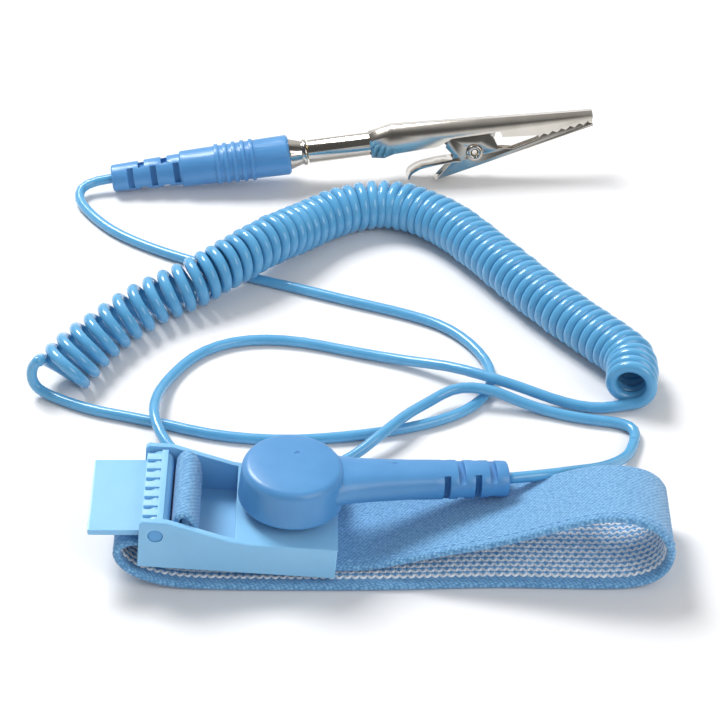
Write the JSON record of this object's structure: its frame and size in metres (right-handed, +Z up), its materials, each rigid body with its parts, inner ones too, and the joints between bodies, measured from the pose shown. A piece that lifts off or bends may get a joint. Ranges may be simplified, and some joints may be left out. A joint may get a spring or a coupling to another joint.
{
  "type": "esd wrist strap",
  "caption": "Adjustable elastic wrist strap with a clamping buckle, a curly ground cord on a snap plug, banana plug and push-on crocodile clip.",
  "frame": {"origin": "below the middle of the strap's own box, on the surface it lies on", "axes": "+X along the strap from the buckle's lever to the loop, +Y across the band towards the cord, +Z up"},
  "size_m": [0.1288, 0.1472, 0.0212],
  "materials": {
    "buckle_plastic": "semi_gloss",
    "band_fabric": "matt",
    "steel": "satin",
    "nickel": "gloss",
    "plug_plastic": "satin",
    "cord_plastic": "gloss",
    "brass": "satin",
    "resistor_body": "matt"
  },
  "bodies": {
    "wristband": {"buckle_frame": "buckle_plastic", "hinge_pin": "buckle_plastic", "elastic_band": "band_fabric", "band_tail": "band_fabric", "contact_plate": "steel", "stud_rivet": "steel", "snap_stud": "nickel"},
    "clamp_lever": {"lever": "buckle_plastic"},
    "cord_set": {"cord_plug_stretch": "cord_plastic", "cord_snap_lead": "cord_plastic", "cord_coil": "cord_plastic", "cord_clip_lead": "cord_plastic", "banana_handle": "plug_plastic", "handle_cord_end": "cord_plastic", "banana_pin": "brass", "banana_ferrule": "nickel"},
    "snap_plug": {"plug_overmould": "plug_plastic", "snap_socket": "nickel", "socket_spring": "brass", "solder_lug": "brass", "safety_resistor": "resistor_body", "resistor_leads": "nickel", "crimp_sleeve": "brass", "plug_cord_end": "cord_plastic"},
    "plug_sleeve": {"contact_spring": "nickel"},
    "clip_barrel": {"clip_upper_jaw": "nickel", "clip_rivet": "nickel", "jaw_spring": "steel"},
    "clip_jaw": {"clip_lower_jaw": "nickel"}
  },
  "joints": [
    {"name": "lever_hinge", "type": "hinge", "parent": "wristband", "child": "clamp_lever", "pos_m": [-0.04277, 0, 0.01301], "axis": [0, 1, 0], "range_deg": [0, 180], "deforming": ["band_tail"]},
    {"name": "cord_unsnap", "type": "slide", "parent": "wristband", "child": "cord_set", "axis": [0.0837, 0, 0.9965], "range_m": [0, 0.008]},
    {"name": "plug_swivel", "type": "hinge", "parent": "cord_set", "child": "snap_plug", "pos_m": [-0.01801, 0.0004, 0.01023], "axis": [0.0837, 0, 0.9965], "range_deg": [0, 25]},
    {"name": "clip_swivel", "type": "hinge", "parent": "cord_set", "child": "plug_sleeve", "pos_m": [-0.01097, 0.12807, 0.00823], "axis": [0.9906, 0.0954, 0.0976], "continuous": true},
    {"name": "clip_pull", "type": "slide", "parent": "plug_sleeve", "child": "clip_barrel", "axis": [0.9906, 0.0954, 0.0976], "range_m": [0, 0.02]},
    {"name": "jaw_hinge", "type": "hinge", "parent": "clip_barrel", "child": "clip_jaw", "pos_m": [0.02102, 0.12966, 0.00678], "axis": [-0.0611, 0.9496, -0.3075], "range_deg": [0, 10], "stiffness_Nm_per_rad": 0.25, "springref_deg": -20.05}
  ]
}
